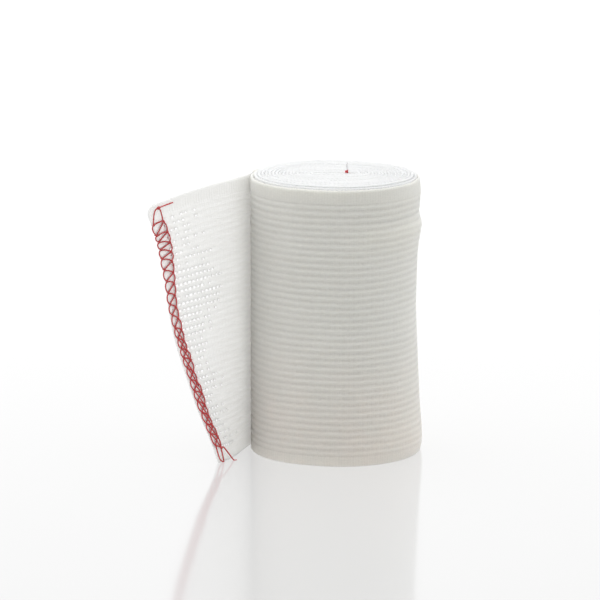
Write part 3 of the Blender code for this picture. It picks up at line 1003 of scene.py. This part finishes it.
class BANDAGE_OT_seams(bpy.types.Operator):
    """Sew the red overlock seams at the strip's outer and inner ends"""
    bl_idname = "bandage.seams"
    bl_label = "Overlock seams"

    def execute(self, context):
        made = Settings(context.scene)
        seam = made.seam
        red = thread_material("red_thread", seam.colour, seam.worn_colour)
        outer = thread_piece("outer_seam", self.outer_paths(made), seam.thread, red)
        inner = thread_piece("inner_seam", self.inner_paths(made), seam.thread, red)
        for piece in (outer, inner):
            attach(piece, BODY)
        return {"FINISHED"}

    @staticmethod
    def stitches(made, height):
        """For each stitch, the place of its outer and its inner knot: from the free edge, and up from the floor."""
        seam = made.seam
        chance = np.random.RandomState(made.knit.seed + 11)
        level = height - seam.top_start
        knots = []
        while level > seam.lowest:
            left = read_table(SEAM_PLACES, level / height, 1) + chance.uniform(-0.0002, 0.0002)
            right = read_table(SEAM_PLACES, level / height, 2) + chance.uniform(-0.0003, 0.0003)
            lean = -0.0003 if len(knots) < 2 else chance.uniform(0.0011, 0.0020)
            knots.append((left, level + lean, right, level))
            level -= seam.pitch * chance.uniform(0.88, 1.12)
        return knots

    def outer_paths(self, made):
        """The seam's threads: stitches over each face, arcs between the inner knots and loops round the edge."""
        seam, height = made.seam, made.width - made.roll.narrowing
        sheet = FreeEndSheet(made)
        lift = made.net_half + seam.thread * 0.35

        def at(from_edge, level, side=1.0, rise=0.0):
            return sheet.spot(from_edge, min(max(level, 0.0004), height - 0.0004) / height, side * (lift + rise))

        def knot(from_edge, level, turns, size):
            return [at(from_edge + size * math.cos(turn), level + size * math.sin(turn), 1.0, 0.0002 + 0.00002 * turn)
                    for turn in np.linspace(0, turns * 2 * math.pi, int(turns * 8) + 1)]

        knots = self.stitches(made, height)
        paths = []
        for side in (1.0, -1.0):
            over = []
            for (left, left_level, right, level), after in zip(knots, knots[1:] + [None]):
                over.append(at(left, left_level, side))
                over.append(at((left + right) / 2, (left_level + level) / 2 + 0.0003, side, 0.0001))
                over.append(at(right, level, side, 0.0002))
                if after:
                    over.append(at((right + after[0]) / 2, (level + after[1]) / 2, side, 0.00005))
                    beyond = max(right, after[2]) + 0.0005
                    inside = [at(right, level, side, 0.0003), at(beyond, level * 0.7 + after[3] * 0.3, side, 0.0001),
                              at(beyond, level * 0.35 + after[3] * 0.65, side, 0.0001), at(after[2], after[3], side, 0.0003)]
                    paths.append(curve_through(inside))
            paths.append(curve_through(over))
        for (left, high, right, level), (next_left, low, next_right, next_level) in zip(knots, knots[1:]):
            out = (left + next_left) / 2 - seam.bulge
            side = 1.0 if out > 0 else 0.4
            loop = [at(left, high, 1.0, 0.0001), at(out + seam.bulge * 0.3, high * 0.78 + low * 0.22, side),
                    at(out, (high + low) / 2, side), at(out + seam.bulge * 0.3, high * 0.22 + low * 0.78, side),
                    at(next_left, low, 1.0, 0.0001)]
            paths.append(curve_through(loop))
            if level < height * seam.chain_below:
                paths.append(curve_through([at(left, high, 1.0, 0.0002),
                                            at((left + next_right) / 2, (high + next_level) / 2, 1.0, 0.0004),
                                            at(next_right, next_level, 1.0, 0.0003)]))
        for left, left_level, right, level in knots:
            paths.append(curve_through(knot(right, level, 2.0, 0.00030), 4))
            paths.append(curve_through(knot(left, left_level, 1.2, 0.00020), 4))
        left, left_level, right, level = knots[0]
        knot_level = height - 0.0019
        first_loop = [at(left, left_level), at(0.0018, height - 0.0046), at(seam.knot_edge - 0.0010, knot_level - 0.0008),
                      at(seam.knot_edge, knot_level, 1.0, 0.0002), at(seam.knot_edge + 0.0013, knot_level - 0.0010),
                      at(right + 0.0006, height - 0.0048), at(right, level, 1.0, 0.0002)]
        paths.append(curve_through(first_loop))
        loose = [at(seam.knot_edge + reach, knot_level, 1.0, 0.0002) for reach in (0.0017, 0.0034, 0.0051, 0.0068)]
        paths.append(curve_through(knot(seam.knot_edge, knot_level, 2.0, 0.0004) + loose))
        left, left_level, right, level = knots[-1]
        paths.append(curve_through([at(left, left_level), at(left, 0.0020), at(left + 0.0007, 0.0005, 1.0, 0.0003),
                                    at(right - 0.0006, 0.0012, 1.0, 0.0002), at(right, level, 1.0, 0.0002)]))
        paths.append(curve_through([at(right, level, 1.0, 0.0002), at(right + 0.0010, level + 0.0001, 1.0, 0.0006),
                                    at(right + 0.0018, level * 0.6, 1.0, 0.0014), at(right + 0.0023, 0.0006, 1.0, 0.0022),
                                    at(right + 0.0030, 0.0004, 1.0, 0.0028)]))
        return paths

    @staticmethod
    def inner_paths(made):
        """The seam on the strip's inner end, of which only the top shows between the turns of the core."""
        seam, width, line = made.seam, made.width, made.line
        end_x, end_y = line.spots[0, :2]
        top = width - 0.0004
        count = int((width - 0.004) / seam.pitch)
        half = made.half + seam.thread * 0.4
        zigzag = []
        loops = []
        for index in range(count):
            level = top - index * seam.pitch
            side = 1 if index % 2 == 0 else -1
            zigzag.append((end_x, end_y - side * half * 0.9, level))
            zigzag.append((end_x - seam.inner_width * 0.8, end_y - side * half, level - seam.pitch * 0.4))
            zigzag.append((end_x + 0.0003, end_y, level - seam.pitch * 0.7))
            loops.append((end_x + 0.0004 + 0.0002 * side, end_y + side * half * 0.5, level - seam.pitch * 0.3))
        knot = [(end_x - 0.0002 + 0.00035 * math.cos(turn), end_y + 0.0004 * math.sin(turn),
                 width + 0.00006 * turn) for turn in np.linspace(0, 4 * math.pi, 19)]
        return [curve_through(zigzag), curve_through(loops), curve_through(knot)]


class BANDAGE_OT_loose_yarns(bpy.types.Operator):
    """Make the pale yarn end that stands up at the core"""
    bl_idname = "bandage.loose_yarns"
    bl_label = "Loose yarns"

    def execute(self, context):
        made = Settings(context.scene)
        knit = made.knit
        x, y = made.line.spots[0, :2]
        base = made.width
        stands = curve_through([(x + 0.0002, y + 0.0016, base - 0.004), (x + 0.0001, y + 0.0017, base + 0.0006),
                                (x - 0.0001, y + 0.0020, base + 0.0020), (x + 0.0001, y + 0.0023, base + 0.0032)])
        # Painted light: the yarn end gets a lighter colour than the knit's yarn, to offset the shade on the thin yarn.
        pale = thread_material("lightened_pale_thread", (0.90, 0.90, 0.90, 1.0), (0.94, 0.94, 0.94, 1.0))
        shader = pale.node_tree.nodes["Principled BSDF"]
        shader.inputs["Subsurface Weight"].default_value = 1.0
        shader.inputs["Subsurface Radius"].default_value = (1.0, 1.0, 1.0)
        shader.inputs["Subsurface Scale"].default_value = knit.open_glow
        piece = thread_piece("loose_yarns", [stands], 0.0008, pale, 0.0014)
        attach(piece, BODY)
        return {"FINISHED"}


class BANDAGE_OT_stage(bpy.types.Operator):
    """Make the floor, the soft light and the camera"""
    bl_idname = "bandage.stage"
    bl_label = "Stage"

    def execute(self, context):
        scene = context.scene
        stage = scene.bandage_stage
        self.floor(stage)
        self.light(stage)
        self.camera(scene, stage)
        return {"FINISHED"}

    @staticmethod
    def floor(stage):
        """A large pale glossy floor, lit from below so that the roll throws no hard shadow on it."""
        size = 6.0
        mesh = bpy.data.meshes.new("floor")
        mesh.from_pydata([(-size, -size, 0), (size, -size, 0), (size, size, 0), (-size, size, 0)], [], [(0, 1, 2, 3)])
        floor = bpy.data.objects.new("floor", mesh)
        bpy.context.scene.collection.objects.link(floor)
        material = bpy.data.materials.new("pale_floor")
        material.use_nodes = True
        shader = material.node_tree.nodes["Principled BSDF"]
        shader.inputs["Base Color"].default_value = stage.floor
        shader.inputs["Roughness"].default_value = 0.10
        shader.inputs["IOR"].default_value = 1.5
        shader.inputs["Emission Color"].default_value = (1.0, 1.0, 1.0, 1.0)
        shader.inputs["Emission Strength"].default_value = stage.floor_glow
        mesh.materials.append(material)

    @staticmethod
    def light(stage):
        """A white surround, brightest overhead and behind the roll, as a lit white background is."""
        world = bpy.data.worlds.new("white_surround")
        bpy.context.scene.world = world
        world.use_nodes = True
        tree = NodeTree(world.node_tree)
        way = tree.add("ShaderNodeTexCoord").outputs["Generated"]
        parts = tree.add("ShaderNodeSeparateXYZ", {0: way}).outputs
        around = tree.ramp(parts[1], -0.9, 0.4, stage.front_light, stage.back_light)
        overhead = tree.ramp(parts[2], 0.3, 1.0, 0.0, stage.top_light)
        leftward = tree.ramp(parts[0], -0.2, -0.9, 0.0, stage.left_light)
        background = world.node_tree.nodes["Background"]
        background.inputs["Color"].default_value = (1.0, 1.0, 1.0, 1.0)
        strength = tree.math("ADD", tree.math("ADD", around, overhead), leftward)
        world.node_tree.links.new(strength, background.inputs["Strength"])

    @staticmethod
    def camera(scene, stage):
        """The photo's view: a long lens, a little above the roll."""
        data = bpy.data.cameras.new("camera")
        data.sensor_width = 36.0
        data.lens = data.sensor_width * stage.scale * stage.distance * 1000 / 600
        data.clip_end = 20.0
        camera = bpy.data.objects.new("camera", data)
        middle = Vector((0.0, 0.0, 0.05))
        camera.location = middle + Vector((0, -math.cos(stage.elevation), math.sin(stage.elevation))) * stage.distance
        aim = Vector((-0.0129, 0.0, 0.0539))
        camera.rotation_euler = (aim - camera.location).to_track_quat("-Z", "Y").to_euler()
        scene.collection.objects.link(camera)
        scene.camera = camera


class BANDAGE_PT_panel(bpy.types.Panel):
    """Lists the bandage's operators"""
    bl_idname = "BANDAGE_PT_panel"
    bl_label = "Elastic Bandage"
    bl_space_type = "VIEW_3D"
    bl_region_type = "UI"
    bl_category = "Bandage"

    def draw(self, context):
        layout = self.layout
        for operator in OPERATORS:
            layout.operator(operator.bl_idname)


GROUPS = (
    (BANDAGE_PG_roll, "bandage_roll"),
    (BANDAGE_PG_free_end, "bandage_free_end"),
    (BANDAGE_PG_knit, "bandage_knit"),
    (BANDAGE_PG_seam, "bandage_seam"),
    (BANDAGE_PG_stage, "bandage_stage"),
)
OPERATORS = (
    BANDAGE_OT_stage,
    BANDAGE_OT_inner_turns,
    BANDAGE_OT_outer_turn,
    BANDAGE_OT_free_end,
    BANDAGE_OT_seams,
    BANDAGE_OT_loose_yarns,
)


def register():
    """Register the classes and their settings."""
    for group, name in GROUPS:
        bpy.utils.register_class(group)
        setattr(bpy.types.Scene, name, PointerProperty(type=group))
    for item in OPERATORS + (BANDAGE_PT_panel,):
        bpy.utils.register_class(item)


def unregister():
    """Take the classes and their settings away."""
    for item in reversed(OPERATORS + (BANDAGE_PT_panel,)):
        bpy.utils.unregister_class(item)
    for group, name in reversed(GROUPS):
        delattr(bpy.types.Scene, name)
        bpy.utils.unregister_class(group)


def main():
    """Make every piece."""
    register()
    bpy.context.scene.view_settings.view_transform = "Standard"
    bpy.ops.bandage.stage()
    bpy.ops.bandage.inner_turns()
    bpy.ops.bandage.outer_turn()
    bpy.ops.bandage.free_end()
    bpy.ops.bandage.seams()
    bpy.ops.bandage.loose_yarns()


if __name__ == "__main__":
    main()
